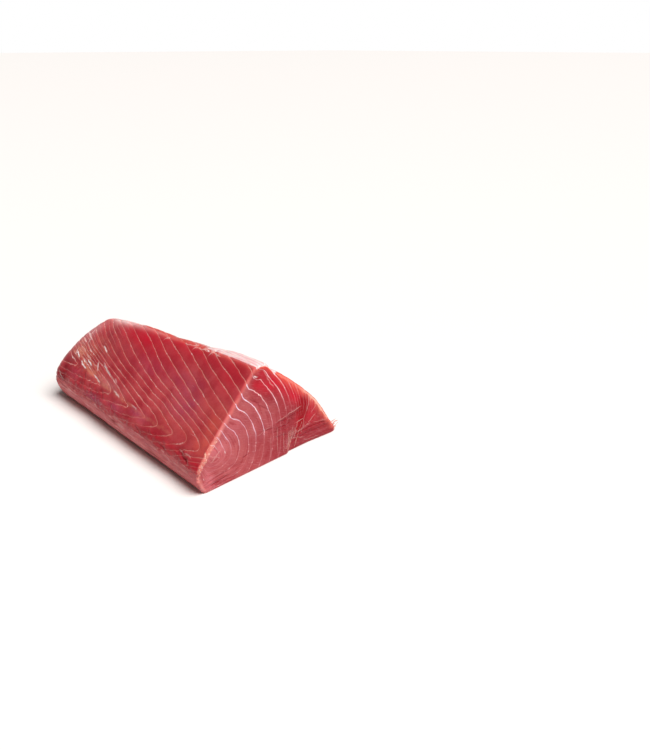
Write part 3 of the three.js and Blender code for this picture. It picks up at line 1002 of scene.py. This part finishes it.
def makeScraps(shift, material):
    draw = random.Random(scraps["seed"])
    bm = bmesh.new()
    addStepStrands(bm, draw)
    addToeFibres(bm, draw)
    addEdgeScraps(bm, draw)
    addRidgeFlakes(bm, draw)
    bmesh.ops.translate(bm, verts=bm.verts, vec=shift)
    bmesh.ops.recalc_face_normals(bm, faces=bm.faces)
    bmesh.ops.scale(bm, vec=(millimetre,) * 3, verts=bm.verts)
    finishPiece(bm, "torn_tissue", material)


# Materials
flesh = {
    "deep": "#ae333d",
    "bright": "#c24b50",
    "cutDeep": "#a6484e",
    "cutBright": "#b25759",
    "dark": "#880f1e",
    # painted lilac sheen
    "lilac": "#aa4c6c",
    # painted pale sheen
    "veil": "#facdcb",
    "shade": "#88343c",
    "ruby": "#9a3038",
    "scarlet": "#c41c30",
    "crimson": "#9a0014",
    "glow": "#d2564e",
    "fat": "#dc8a70",
    "brown": "#982a32",
    "pale": "#c8666c",
    # painted pink sheen
    "blush": "#dc7c84",
    "band": "#cc6a6c",
    "skin": "#ac444c",
    "membrane": "#e2b2ae",
    "tissue": "#f7dcd4",
    # the pale strip, painted near white, which also stands for the glare on it
    "strip": "#f6d8d6",
    "stripStreak": "#ecb4b6",
    # painted glow where the rounded edge between the tall side and the cut end catches the light
    "edge": "#d66e6a",
    "edgeLow": "#e69490",
    # painted glow along the crest of the ridge
    "crest": "#dc6054",
    # the rim colours below: a painted glow of light through the thin rim of the cut end
    "rim": "#e2564a",
    "rimGlowLow": "#d6665a",
    "rimEdgeGlow": "#ea7c6c",
    "rimEdgeGlowLow": "#f6b49e",
    "fringe": "#dc8070",
    # painted glints in the torn fringe
    "fringeGlint": "#ffe4cc",
    "tallLine": "#e09a90",
    "cutLine": "#f0d6e8",
    "cutLineRight": "#eebec2",
    "cutLineFaint": "#d08a90",
    "glint": "#fff0ee",
    "lineHalfWidth": {"tall": 0.27, "cut": 0.26},  # millimetres
    "strokeHalfWidth": {"pale": 0.4, "dark": 0.55, "white": 0.55, "fat": 1.4},
    "roughness": (0.28, 0.48),
    "rougherBand": 0.2,
    "coat": {"moist": 0.08, "drier": 0.02},
    "bump": 0.0003,
    "shader": {
        "Subsurface Weight": 0.35,
        "Subsurface Scale": 0.003,
        "Subsurface Radius": (1.0, 0.3, 0.22),
        "Coat Roughness": 0.15,
        "Specular IOR Level": 0.12,
        "IOR": 1.38,
    },
}


def linear(code):
    values = (int(code[i : i + 2], 16) / 255 for i in (1, 3, 5))
    return tuple(v / 12.92 if v < 0.04045 else ((v + 0.055) / 1.055) ** 2.4 for v in values) + (1,)


class Tree:
    def __init__(self, tree):
        self.tree = tree

    def node(self, kind, inputs=None, **settings):
        made = self.tree.nodes.new("ShaderNode" + kind)
        for name, value in settings.items():
            setattr(made, name, value)
        for name, value in (inputs or {}).items():
            self.set(made.inputs[name], value)
        return made

    def set(self, socket, value):
        if isinstance(value, bpy.types.NodeSocket):
            self.tree.links.new(value, socket)
        else:
            socket.default_value = linear(value) if isinstance(value, str) else value

    def maths(self, operation, *values, clamp=False):
        made = self.node("Math", operation=operation, use_clamp=clamp)
        for i, value in enumerate(values):
            self.set(made.inputs[i], value)
        return made.outputs[0]

    def times(self, first, second, clamp=False):
        return self.maths("MULTIPLY", first, second, clamp=clamp)

    def plus(self, first, second):
        return self.maths("ADD", first, second)

    # A value that has 0.5 as its middle, made to swing about zero
    def centred(self, value, amount):
        return self.times(self.maths("SUBTRACT", value, 0.5), amount)

    # A mix node takes its two colours in the sockets 6 and 7, and gives one in 2
    def mix(self, amount, first, second):
        made = self.node("Mix", data_type="RGBA")
        for i, value in ((0, amount), (6, first), (7, second)):
            self.set(made.inputs[i], value)
        return made.outputs[2]

    def ramp(self, value, low, high, toLow=0.0, toHigh=1.0):
        made = self.node("MapRange", interpolation_type="SMOOTHSTEP")
        for i, number in enumerate((value, low, high, toLow, toHigh)):
            self.set(made.inputs[i], number)
        return made.outputs[0]

    def noise(self, vector, scale, detail=2.0, distortion=0.0):
        inputs = {"Vector": vector, "Scale": scale, "Detail": detail, "Distortion": distortion}
        return self.node("TexNoise", inputs).outputs["Fac"]

    def waver(self, vector, scale, detail, amount):
        return self.centred(self.noise(vector, scale, detail), amount)

    def stretched(self, vector, scale, turn=(0, 0, 0)):
        inputs = {"Vector": vector, "Scale": scale, "Rotation": turn}
        return self.node("Mapping", inputs, vector_type="TEXTURE").outputs[0]

    def attribute(self, name):
        return self.node("Attribute", attribute_name=name).outputs["Fac"]

    def surface(self, shader, output="OutputMaterial"):
        self.node(output, {"Surface": shader.outputs[0]})


# Wet grain, for every moist surface: uneven gloss and a fine bump
def makeWetGrain():
    group = bpy.data.node_groups.new("wetGrain", "ShaderNodeTree")
    sockets = {
        "INPUT": {"Vector": "Vector", "Rough Low": "Float", "Rough High": "Float"},
        "OUTPUT": {"Roughness": "Float", "Height": "Float"},
    }
    for way, kinds in sockets.items():
        for name, kind in kinds.items():
            group.interface.new_socket(name, in_out=way, socket_type="NodeSocket" + kind)
    tree = Tree(group)
    given = group.nodes.new("NodeGroupInput").outputs
    result = group.nodes.new("NodeGroupOutput").inputs
    coarse = tree.noise(given["Vector"], 160, 3)
    fine = tree.noise(given["Vector"], 900, 2)
    tree.set(result["Roughness"], tree.ramp(coarse, 0.3, 0.7, given["Rough Low"], given["Rough High"]))
    tree.set(result["Height"], tree.plus(tree.times(coarse, 0.7), tree.times(fine, 0.3)))
    return group


def addWetGrain(tree, wetGrain, place, roughness):
    inputs = {"Vector": place, "Rough Low": roughness[0], "Rough High": roughness[1]}
    grain = tree.node("Group", inputs, node_tree=wetGrain).outputs
    return grain["Roughness"], grain["Height"]


def newMaterial(name):
    material = bpy.data.materials.new(name)
    material.use_nodes = True
    material.node_tree.nodes.clear()
    return material, Tree(material.node_tree)


def finishShader(tree, finish, colour, roughness, height, coat):
    bump = tree.node("Bump", {"Height": height, "Strength": 1.0, "Distance": finish["bump"]})
    inputs = {"Base Color": colour, "Roughness": roughness, "Normal": bump.outputs[0], "Coat Weight": coat}
    tree.surface(tree.node("BsdfPrincipled", {**inputs, **finish["shader"]}))


# The sheets of tissue as they show on a face: thin lines, a soft glow beside them, thinner lines
# midway, and flecks and streaks that follow them
def sheetMasks(tree, place, paint):
    loose = tree.ramp(paint["torn"], 0, 1, 0.12, 0.7)
    waver = tree.waver(place, 260, 2, loose)
    phase = tree.plus(tree.attribute("sheetPhase"), waver)
    pitch = tree.attribute("sheetPitch")
    axes = tree.node("SeparateXYZ", {"Vector": place}).outputs
    level = tree.plus(axes["X"], axes["Y"])
    along = {"X": tree.times(phase, 4.0), "Y": tree.times(level, 80.0), "Z": tree.times(axes["Z"], 50.0)}
    flow = tree.node("CombineXYZ", along).outputs[0]
    streak = tree.noise(flow, 1.0, 2, 0.3)
    offSheet = tree.times(tree.maths("PINGPONG", phase, 0.5), pitch)
    offHalf = tree.times(tree.maths("PINGPONG", tree.times(phase, 2.0), 0.5), pitch)
    fleck = tree.times(tree.ramp(tree.noise(flow, 1.9, 1), 0.5, 0.6), paint["fleck"])
    thickness = tree.ramp(tree.noise(place, 110, 3), 0.3, 0.7, 0.5, 1.5)
    halfWidth = flesh["lineHalfWidth"]
    width = tree.times(thickness, tree.ramp(paint["cut"], 0, 1, halfWidth["tall"], halfWidth["cut"]))
    wide = tree.times(width, tree.plus(1.0, tree.times(fleck, 2.6)))
    line = tree.ramp(tree.maths("DIVIDE", offSheet, wide), 0.4, 1.7, 1.0, 0.0)
    fading = tree.ramp(tree.noise(place, 45, 2), 0.25, 0.6, 0.45, 1.0)
    line = tree.times(line, tree.times(paint["lines"], fading))
    halfLine = tree.maths("DIVIDE", offHalf, tree.times(width, 1.6))
    halfLine = tree.ramp(halfLine, 0.4, 1.7, 1.0, 0.0)
    halfLine = tree.times(halfLine, tree.times(paint["half"], fading))
    glint = tree.times(line, tree.ramp(tree.noise(place, 420, 1), 0.62, 0.72, 0.0, 0.9))
    halo = tree.ramp(offSheet, 0.0, 2.4, 0.35, 0.0)
    return {
        "line": tree.maths("MINIMUM", tree.maths("MAXIMUM", line, halfLine), 1.0),
        "halo": tree.times(halo, paint["lines"], clamp=True),
        "glint": tree.maths("MINIMUM", glint, 1.0),
        "fleck": fleck,
        "streak": streak,
    }


# The mask of the thin strokes of one kind, which waver a little
def strokeMask(tree, place, paint, kind):
    halfWidth = flesh["strokeHalfWidth"][kind]
    waver = tree.waver(place, 300, 2, 2.4)
    off = tree.maths("ABSOLUTE", tree.plus(paint[kind + "Off"], waver))
    stroke = tree.ramp(off, 0.3 * halfWidth, 1.8 * halfWidth, 1.0, 0.0)
    return tree.times(stroke, paint[kind + "Stroke"])


# The muscle itself, before its lines and edges
def muscleColour(tree, place, paint, masks):
    mottle = tree.ramp(tree.noise(place, 55, 3), 0.35, 0.65)
    onTall = tree.mix(mottle, flesh["deep"], flesh["bright"])
    onCut = tree.mix(mottle, flesh["cutDeep"], flesh["cutBright"])
    colour = tree.mix(paint["cut"], onTall, onCut)
    # the band and the base, behind a torn edge
    tear = tree.waver(place, 240, 3, 9.0)
    tear = tree.plus(tear, tree.waver(place, 60, 1, 8.0))
    band = tree.ramp(tree.plus(paint["shoulder"], tear), -1.6, 0.8, 1.0, 0.0)
    colour = tree.mix(band, colour, flesh["band"])
    lengthwise = tree.noise(tree.stretched(place, (0.016, 0.0028, 0.002), (0, 0.06, 0)), 1.0, 3, 0.5)
    light = tree.times(tree.ramp(lengthwise, 0.52, 0.68, 0.0, 0.6), band)
    colour = tree.mix(light, colour, flesh["membrane"])
    dark = tree.times(tree.ramp(lengthwise, 0.48, 0.34, 0.0, 0.5), band)
    colour = tree.mix(dark, colour, flesh["shade"])
    colour = tree.mix(paint["ruby"], colour, flesh["ruby"])
    broken = tree.ramp(tree.noise(place, 130, 3), 0.25, 0.75, 0.55, 1.2)
    # here the pale, pink and lilac patches are painted sheen, the shade patches painted shade, the glow a
    # painted glow, and the dark along the band's bottom painted shade; brown, skin and the other dark
    # patches are the flesh's own colour
    for kind in ("pale", "blush", "brown", "shade", "dark", "lilac", "glow", "skin"):
        amount = tree.times(paint[kind], broken, clamp=True)
        colour = tree.mix(amount, colour, flesh[kind])
    streak = tree.ramp(masks["streak"], 0.38, 0.6)
    colour = tree.mix(tree.times(paint["fat"], streak), colour, flesh["fat"])
    softly = tree.ramp(tree.noise(place, 170, 3), 0.35, 0.6, 0.2, 0.7)
    fatStroke = tree.times(strokeMask(tree, place, paint, "fat"), softly)
    colour = tree.mix(fatStroke, colour, flesh["fat"])
    # the membrane under the skin, in streaks along the block
    streaks = tree.noise(tree.stretched(place, (0.05, 0.0035, 0.0035)), 1.0, 4, 0.3)
    patchy = tree.ramp(tree.noise(place, 22, 2), 0.35, 0.65, 0.35, 1.0)
    patchy = tree.times(paint["skin"], patchy)
    membrane = tree.times(tree.ramp(streaks, 0.35, 0.68, 0.15, 0.8), patchy)
    colour = tree.mix(membrane, colour, flesh["membrane"])
    # a fine speckle of pale and dark grains
    speckle = tree.noise(place, 620, 2)
    colour = tree.mix(tree.ramp(speckle, 0.55, 0.8, 0.0, 0.22), colour, flesh["pale"])
    return tree.mix(tree.ramp(speckle, 0.45, 0.2, 0.0, 0.25), colour, flesh["dark"]), band


# Scratches and wrinkles that the knife left on the cut end
def addKnifeMarks(tree, place, paint, masks, colour):
    level = tree.stretched(place, (1, 0.03, 0.0012), (0.17, 0, 0))
    scratch = tree.ramp(tree.noise(level, 1.0, 2), 0.54, 0.66)
    amount = tree.times(tree.times(paint["torn"], paint["cut"]), scratch)
    colour = tree.mix(tree.times(amount, 0.5), colour, flesh["dark"])
    wrinkle = tree.times(tree.ramp(masks["streak"], 0.52, 0.68, 0.0, 0.5), paint["cut"])
    colour = tree.mix(wrinkle, colour, flesh["brown"])
    # fine fibres that rise to the right
    rising = tree.stretched(place, (1, 0.007, 0.0009), (-0.45, 0, 0))
    fibre = tree.ramp(tree.noise(rising, 1.0, 2), 0.52, 0.78, 0.0, 0.28)
    colour = tree.mix(tree.times(fibre, paint["cut"]), colour, flesh["cutLineFaint"])
    # level stripes that fan out from the foot, and along the bottom above the toe
    fan = tree.noise(tree.stretched(place, (1, 0.05, 0.0022), (0.1, 0, 0)), 1.0, 1, 0.3)
    deep = tree.times(tree.ramp(fan, 0.48, 0.38, 0.0, 0.45), paint["fan"])
    colour = tree.mix(deep, colour, flesh["dark"])
    light = tree.times(tree.ramp(fan, 0.54, 0.64, 0.0, 0.4), paint["fan"])
    return tree.mix(light, colour, flesh["pale"])


# The paler strip along the edge of the tall side, a painted glow where the rounded edge catches the light,
# with its torn fringe and the painted glints in it, and the orange rim, a painted glow of light through the
# thin edge
def addEdges(tree, place, paint, streak, colour):
    waver = tree.maths("SUBTRACT", tree.noise(place, 400, 2), 0.5)
    patchy = tree.ramp(tree.noise(place, 130, 3), 0.3, 0.65, 0.45, 0.9)
    strip = tree.ramp(tree.plus(paint["edge"], waver), 0.0, 3.0, patchy, 0.0)
    colour = tree.mix(strip, colour, tree.mix(paint["salmon"], flesh["edge"], flesh["edgeLow"]))
    ragged = tree.waver(place, 300, 3, 7.0)
    fringe = tree.ramp(tree.plus(paint["edge"], ragged), 1.2, 3.4, 0.55, 0.0)
    fringe = tree.times(fringe, paint["fringe"])
    colour = tree.mix(fringe, colour, flesh["fringe"])
    # painted glints in the torn fringe
    fringeGlint = tree.times(tree.ramp(tree.noise(place, 520, 2), 0.58, 0.66, 0.0, 1.2), fringe, clamp=True)
    colour = tree.mix(fringeGlint, colour, flesh["fringeGlint"])
    soft = tree.plus(paint["rim"], tree.waver(place, 180, 2, 4.0))
    comb = tree.centred(streak, tree.ramp(paint["rim"], 0, 4, 0.0, 10.0))
    soft = tree.times(tree.plus(soft, comb), tree.ramp(paint["salmon"], 0, 1, 0.6, 0.75))
    # the rim: a painted orange glow of light through the thin edge
    rim = tree.mix(paint["salmon"], flesh["rim"], flesh["rimGlowLow"])
    edge = tree.mix(paint["salmon"], flesh["rimEdgeGlow"], flesh["rimEdgeGlowLow"])
    colour = tree.mix(tree.ramp(soft, 0.4, 5.5, 0.85, 0.0), colour, rim)
    return tree.mix(tree.ramp(soft, 0.2, 1.8, 0.85, 0.0), colour, edge)


def makeFlesh(wetGrain):
    material, tree = newMaterial("wetRedFlesh")
    place = tree.node("TexCoord").outputs["Object"]
    paint = {kind: tree.attribute(paintLayer(kind)) for kind in allKinds}
    masks = sheetMasks(tree, place, paint)
    colour, band = muscleColour(tree, place, paint, masks)
    colour = addKnifeMarks(tree, place, paint, masks, colour)
    # dark strokes, also sunk in the bump: the flesh's dark lines, with painted shade in the nicks and
    # painted shadow under the ledge
    darkStroke = strokeMask(tree, place, paint, "dark")
    colour = tree.mix(tree.times(darkStroke, 0.85), colour, flesh["dark"])
    halo = tree.times(masks["halo"], tree.ramp(paint["cut"], 0, 1, 1.0, 0.5))
    colour = tree.mix(halo, colour, tree.mix(paint["cut"], flesh["glow"], flesh["pale"]))
    uneven = tree.ramp(tree.noise(place, 130, 3), 0.25, 0.6, 0.75, 1.0)
    # scarlet flesh, then the painted glow along the crest and the painted pale sheen
    for kind in ("scarlet", "crest", "veil"):
        colour = tree.mix(tree.times(paint[kind], uneven), colour, flesh[kind])
    colour = tree.mix(paint["crimson"], colour, flesh["crimson"])
    colour = addEdges(tree, place, paint, masks["streak"], colour)
    bright = tree.ramp(paint["lines"], 0.5, 1.1)
    onCut = tree.mix(paint["ruby"], flesh["cutLine"], flesh["cutLineRight"])
    onCut = tree.mix(bright, flesh["cutLineFaint"], onCut)
    lineColour = tree.mix(paint["cut"], flesh["tallLine"], onCut)
    colour = tree.mix(masks["line"], colour, lineColour)
    # painted glints on the lines, and the white flecks of fat on them
    glint = tree.maths("MAXIMUM", masks["glint"], tree.times(masks["fleck"], masks["line"]))
    colour = tree.mix(glint, colour, flesh["glint"])
    paleStroke = strokeMask(tree, place, paint, "pale")
    colour = tree.mix(tree.times(paleStroke, 0.8), colour, flesh["tissue"])
    # white flecks of fat and painted glints
    colour = tree.mix(strokeMask(tree, place, paint, "white"), colour, flesh["glint"])
    torn = tree.ramp(tree.noise(place, 380, 2), 0.4, 0.55)
    colour = tree.mix(tree.times(paint["tissue"], torn, clamp=True), colour, flesh["tissue"])
    # the pale strip beside the ridge, painted near white, which also stands for the glare on it
    along = tree.noise(tree.stretched(place, (0.02, 0.0015, 0.0015)), 1.0, 3)
    strip = tree.mix(tree.ramp(along, 0.42, 0.62), flesh["strip"], flesh["stripStreak"])
    ragged = tree.plus(paint["strip"], tree.centred(along, 1.6))
    colour = tree.mix(tree.ramp(ragged, 0.35, 0.6), colour, strip)

    roughness, height = addWetGrain(tree, wetGrain, place, flesh["roughness"])
    lowered = tree.plus(tree.times(masks["line"], 0.5), darkStroke)
    height = tree.maths("SUBTRACT", tree.plus(height, paleStroke), lowered)
    roughness = tree.plus(roughness, tree.times(band, flesh["rougherBand"]))
    drier = tree.maths("MAXIMUM", band, paint["cut"])
    coat = tree.ramp(drier, 0, 1, flesh["coat"]["moist"], flesh["coat"]["drier"])
    finishShader(tree, flesh, colour, roughness, height, coat)
    return material


tissue = {
    "pale": "#f0b2a8",
    "pink": "#da7c72",
    "roughness": (0.25, 0.4),
    "coat": 0.3,
    "bump": 0.0002,
    "shader": {
        "Subsurface Weight": 0.5,
        "Subsurface Scale": 0.002,
        "Subsurface Radius": (1.0, 0.5, 0.4),
        "Coat Roughness": 0.1,
        "IOR": 1.38,
    },
}


def makeTissue(wetGrain):
    material, tree = newMaterial("paleTissue")
    place = tree.node("TexCoord").outputs["Object"]
    colour = tree.mix(tree.ramp(tree.noise(place, 300, 2), 0.35, 0.65), tissue["pale"], tissue["pink"])
    roughness, height = addWetGrain(tree, wetGrain, place, tissue["roughness"])
    finishShader(tree, tissue, colour, roughness, height, tissue["coat"])
    return material


# Floor, light and camera
studio = {
    "floorSize": 60,
    "floorColour": "#faf5f1",
    "floorRoughness": 0.6,
    "ambient": 0.1,
    "lightFrom": (0.465, 0.138, 0.877),
    "lightSpread": 42,  # degrees that the light spans, which sets how soft the shadow is
    "lightStrength": 3.95,
}
view = {
    "place": (0.5139, -0.3198, 0.3144),
    "turn": 45.703,
    "tilt": 25.049,
    "lens": 34,
    "nearest": 0.01,
}


def makeFloor():
    bm = bmesh.new()
    bmesh.ops.create_grid(bm, x_segments=4, y_segments=4, size=studio["floorSize"] / 2)
    mesh = bpy.data.meshes.new("floor")
    bm.to_mesh(mesh)
    bm.free()
    material, tree = newMaterial("paleFloor")
    inputs = {"Base Color": studio["floorColour"], "Roughness": studio["floorRoughness"]}
    tree.surface(tree.node("BsdfPrincipled", inputs))
    mesh.materials.append(material)
    addObject("floor", mesh)


def makeLight():
    world = bpy.data.worlds.new("whiteRoom")
    world.use_nodes = True
    tree = Tree(world.node_tree)
    world.node_tree.nodes.clear()
    seen = tree.node("LightPath").outputs["Is Camera Ray"]
    strength = tree.ramp(seen, 0, 1, studio["ambient"], 1.0)
    background = tree.node("Background", {"Color": (1, 1, 1, 1), "Strength": strength})
    tree.surface(background, "OutputWorld")
    bpy.context.scene.world = world
    light = bpy.data.lights.new("softLight", "SUN")
    light.energy = studio["lightStrength"]
    light.angle = math.radians(studio["lightSpread"])
    lamp = addObject("softLight", light)
    lamp.rotation_euler = Vector(studio["lightFrom"]).to_track_quat("Z", "Y").to_euler()


def makeCamera():
    camera = bpy.data.cameras.new("camera")
    camera.lens = view["lens"]
    camera.clip_start = view["nearest"]
    holder = addObject("camera", camera)
    holder.location = view["place"]
    holder.rotation_euler = (math.radians(90 - view["tilt"]), 0, math.radians(view["turn"]))
    bpy.context.scene.camera = holder


makeCamera()
makeFloor()
makeLight()
bpy.context.scene.view_settings.view_transform = "Standard"
print("studio ready")
wetGrain = makeWetGrain()
shift = makeLoin(makeFlesh(wetGrain))
makeScraps(shift, makeTissue(wetGrain))
print("loin ready")
